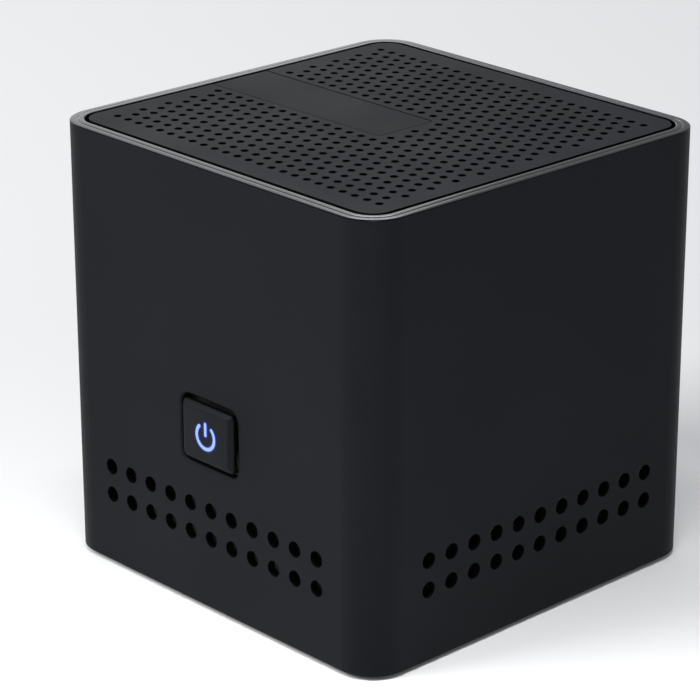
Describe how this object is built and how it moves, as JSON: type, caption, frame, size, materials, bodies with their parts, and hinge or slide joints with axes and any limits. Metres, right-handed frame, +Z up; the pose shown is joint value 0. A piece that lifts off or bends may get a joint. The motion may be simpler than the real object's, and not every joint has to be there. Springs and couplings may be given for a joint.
{
  "type": "mini pc",
  "caption": "Cube-shaped mini PC with a perforated top, side vents and a lit square power button, built as an openable assembly with fan, boards, drive and rear sockets.",
  "frame": {"origin": "centre of the footprint on the floor, under the rubber feet", "axes": "+Z up, front face with the power button towards -Y, rear sockets towards +Y, +X to the right as seen from the front"},
  "size_m": [0.112, 0.1144, 0.1132],
  "materials": {
    "case_plastic": "fine satin moulded or painted dark grey",
    "grille_metal": "fine satin dark grey coating on perforated plate",
    "trim_metal": "polished cut edge, grey anodised",
    "nameplate_metal": "smooth satin dark grey",
    "button_plastic": "satin dark grey",
    "symbol_light": "translucent light guide, lit blue",
    "black_plastic": "moulded black",
    "white_plastic": "natural nylon",
    "blue_plastic": "moulded blue",
    "rubber_black": "soft black rubber",
    "screw_steel": "zinc plated",
    "screw_black": "black oxide",
    "sheet_steel": "galvanised sheet",
    "spring_steel": "bright spring wire",
    "socket_steel": "nickel plated shells",
    "heatsink_aluminium": "extruded, bare",
    "drive_aluminium": "cast lid, bare",
    "brass": "turned",
    "copper_coil": "enamelled copper on laminated iron",
    "board_green": "glass-fibre board with solder mask",
    "card_blue": "glass-fibre card with solder mask",
    "chip_black": "moulded chips",
    "pad_grey": "thermal pad",
    "cable_black": "flexible insulation",
    "foil_gold": "foil antenna and thin leads",
    "lamp_clear": "clear lamp body"
  },
  "bodies": {
    "case": {"base_cover": "case_plastic", "rubber_feet": "rubber_black", "base_screws": "screw_black", "housing_sleeve": "case_plastic", "top_trim_ring": "trim_metal", "top_grille": "grille_metal", "grille_posts": "brass", "nameplate": "nameplate_metal", "grille_screws": "screw_steel", "fan_bracket": "sheet_steel", "fan_frame": "black_plastic", "fan_screws": "screw_steel", "fan_bearing": "brass", "fan_stator": "copper_coil", "fan_cable": "cable_black", "air_duct": "black_plastic", "drive_bracket": "sheet_steel", "storage_drive": "drive_aluminium", "drive_screws": "screw_steel", "sata_cable": "cable_black", "heatsink": "heatsink_aluminium", "heatsink_fins": "heatsink_aluminium", "heatsink_screws": "screw_steel", "heatsink_springs": "spring_steel", "thermal_pad": "pad_grey", "processor": "chip_black", "motherboard": "board_green", "board_standoffs": "brass", "board_screws": "screw_steel", "memory_socket": "black_plastic", "memory_module": "board_green", "m2_sockets": "black_plastic", "ssd_module": "card_blue", "wifi_card": "card_blue", "m2_screws": "brass", "wifi_antennas": "foil_gold", "cell_holder": "black_plastic", "coin_cell": "screw_steel", "power_inductors": "chip_black", "capacitors": "drive_aluminium", "board_headers": "white_plastic", "rear_io_panel": "sheet_steel", "dc_inlet": "black_plastic", "dc_pin": "brass", "hdmi_socket": "socket_steel", "usb_sockets": "socket_steel", "usb_tongues": "blue_plastic", "lan_socket": "socket_steel", "audio_jack": "black_plastic", "button_guide": "black_plastic", "switch_board": "board_green", "tact_switch": "chip_black", "status_led": "lamp_clear", "switch_board_screws": "screw_steel", "panel_cable": "cable_black"},
    "button": {"power_button": "button_plastic", "power_symbol": "symbol_light"},
    "switch_plunger": {"tact_plunger": "black_plastic"},
    "rotor": {"fan_rotor": "black_plastic", "fan_shaft": "screw_steel"}
  },
  "joints": [
    {"name": "power_button_press", "type": "slide", "parent": "case", "child": "button", "axis": [0, 1, 0], "range_m": [0, 0.0006], "stiffness_N_per_m": 2500, "springref_m": -0.0003},
    {"name": "switch_plunger_press", "type": "slide", "parent": "case", "child": "switch_plunger", "axis": [0, 1, 0], "range_m": [0, 0.0006]},
    {"name": "fan_spin", "type": "hinge", "parent": "case", "child": "rotor", "pos_m": [0, 0, 0.1], "axis": [0, 0, 1], "continuous": true}
  ],
  "couplings": [
    {"joint": "switch_plunger_press", "follows": "power_button_press", "ratio": 1}
  ]
}
